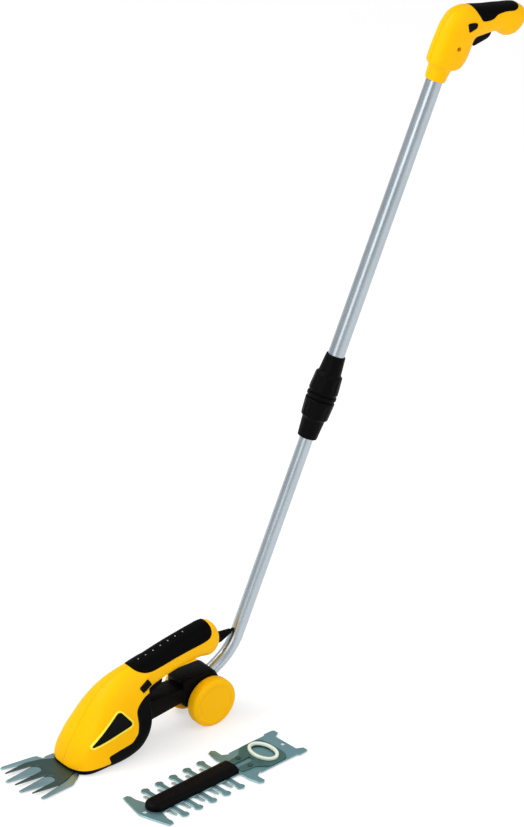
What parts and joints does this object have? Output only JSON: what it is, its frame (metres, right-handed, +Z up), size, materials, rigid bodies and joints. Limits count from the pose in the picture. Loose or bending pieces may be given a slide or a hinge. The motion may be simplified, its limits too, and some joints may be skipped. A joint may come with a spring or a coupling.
{
  "type": "cordless grass shears on a wheeled pole",
  "caption": "Battery grass shear on a wheeled telescopic pole with pistol handle, and its spare shrub blade lying beside it.",
  "frame": {"origin": "middle of the footprint of the tool and the blade beside it, on the ground", "axes": "+Z up, -Y towards the cutting teeth, +X to the tool's left, where the spare blade lies"},
  "size_m": [0.2396, 0.8104, 0.9026],
  "materials": {
    "yellow_abs": "satin moulded ABS",
    "black_abs": "fine grained moulded ABS",
    "soft_black": "soft overmould",
    "aluminium": "satin anodised tube",
    "blade_steel": "ground blade steel",
    "dark_steel": "dark steel",
    "brass": "machined",
    "cell_sleeve": "shrink sleeve",
    "board_green": "solder mask",
    "pale_plastic": "natural acetal"
  },
  "bodies": {
    "shear_unit": {"housing_left": "yellow_abs", "housing_right": "yellow_abs", "grip_sleeve": "soft_black", "base_skirt": "black_abs", "label_panel_left": "black_abs", "label_panel_right": "black_abs", "blade_comb": "blade_steel", "blade_pivot_pin": "blade_steel", "gearbox_frame": "blade_steel", "gear_axle": "blade_steel", "motor": "dark_steel", "battery_cell": "cell_sleeve", "circuit_board": "board_green", "trigger_switch": "black_abs", "charging_socket": "black_abs", "shear_spring": "blade_steel", "housing_screw_1": "dark_steel", "housing_screw_2": "dark_steel", "housing_screw_3": "dark_steel", "housing_screw_4": "dark_steel", "carriage_left": "black_abs", "carriage_right": "black_abs", "axle": "blade_steel", "lower_tube": "aluminium", "cable_plug": "black_abs", "strain_relief": "black_abs", "lower_cable": "black_abs", "tube_bush": "pale_plastic"},
    "moving_blade": {"moving_blade": "dark_steel"},
    "drive_gear": {"drive_gear": "pale_plastic"},
    "motor_pinion": {"motor_pinion": "brass"},
    "shear_trigger": {"shear_trigger": "black_abs"},
    "shear_lock": {"shear_lock_button": "black_abs"},
    "wheel_left": {"wheel_left": "yellow_abs"},
    "wheel_right": {"wheel_right": "yellow_abs"},
    "pole_upper": {"clamp_sleeve": "pale_plastic", "collar_ring": "black_abs", "collar_body": "black_abs", "upper_tube": "aluminium", "handle_left": "yellow_abs", "handle_right": "yellow_abs", "handle_grip": "soft_black", "handle_switch": "black_abs", "handle_screw_1": "dark_steel", "handle_screw_2": "dark_steel", "upper_cable": "black_abs"},
    "collar_nut": {"collar_nut": "black_abs"},
    "handle_trigger": {"handle_trigger": "black_abs"},
    "handle_lock": {"handle_lock_button": "black_abs"},
    "shrub_blade": {"shrub_comb": "blade_steel", "shrub_cover": "black_abs"},
    "shrub_drive": {"shrub_cutter": "dark_steel", "shrub_slider": "blade_steel", "shrub_drive_ring": "pale_plastic", "shrub_rivet_1": "dark_steel", "shrub_rivet_2": "dark_steel"}
  },
  "joints": [
    {"name": "wheel_left_spin", "type": "hinge", "parent": "shear_unit", "child": "wheel_left", "pos_m": [-0.04578, -0.10916, 0.0335], "axis": [1, 0, 0], "continuous": true},
    {"name": "wheel_right_spin", "type": "hinge", "parent": "shear_unit", "child": "wheel_right", "pos_m": [-0.09978, -0.10916, 0.0335], "axis": [1, 0, 0], "continuous": true},
    {"name": "moving_blade_swing", "type": "hinge", "parent": "shear_unit", "child": "moving_blade", "pos_m": [-0.07278, -0.30916, 0.0036], "axis": [0, 0, 1], "range_deg": [-8, 8]},
    {"name": "drive_gear_spin", "type": "hinge", "parent": "shear_unit", "child": "drive_gear", "pos_m": [-0.07278, -0.27416, 0.008], "axis": [0, 0, 1], "continuous": true},
    {"name": "motor_pinion_spin", "type": "hinge", "parent": "shear_unit", "child": "motor_pinion", "pos_m": [-0.07278, -0.25416, 0.008], "axis": [0, 0, 1], "continuous": true},
    {"name": "shear_trigger_pull", "type": "hinge", "parent": "shear_unit", "child": "shear_trigger", "pos_m": [-0.07278, -0.17716, 0.092], "axis": [-1, 0, 0], "range_deg": [0, 5.5], "stiffness_Nm_per_rad": 0.4, "springref_deg": -6.88, "deforming": ["shear_spring"]},
    {"name": "shear_lock_press", "type": "slide", "parent": "shear_unit", "child": "shear_lock", "axis": [-1, 0, 0], "range_m": [0, 0.0025], "stiffness_N_per_m": 300, "springref_m": -0.003},
    {"name": "pole_slide", "type": "slide", "parent": "shear_unit", "child": "pole_upper", "axis": [0, 0.4043, 0.9146], "range_m": [-0.18, 0.1]},
    {"name": "collar_nut_turn", "type": "hinge", "parent": "pole_upper", "child": "collar_nut", "pos_m": [-0.07278, 0.06271, 0.35339], "axis": [0, 0.4043, 0.9146], "range_deg": [0, 90]},
    {"name": "handle_trigger_pull", "type": "hinge", "parent": "pole_upper", "child": "handle_trigger", "pos_m": [-0.07278, 0.3498, 0.86379], "axis": [-1, 0, 0], "range_deg": [0, 5.5], "stiffness_Nm_per_rad": 0.4, "springref_deg": -6.88},
    {"name": "handle_lock_press", "type": "slide", "parent": "pole_upper", "child": "handle_lock", "axis": [-1, 0, 0], "range_m": [0, 0.0025], "stiffness_N_per_m": 300, "springref_m": -0.003},
    {"name": "shrub_blade_lift", "type": "slide", "parent": "shear_unit", "child": "shrub_blade", "axis": [0, 0, 1], "range_m": [0, 0.15]},
    {"name": "shrub_cutter_stroke", "type": "slide", "parent": "shrub_blade", "child": "shrub_drive", "axis": [-0.1045, 0.9945, 0], "range_m": [-0.005, 0.005]}
  ],
  "couplings": [
    {"joint": "motor_pinion_spin", "follows": "drive_gear_spin", "ratio": -3}
  ]
}
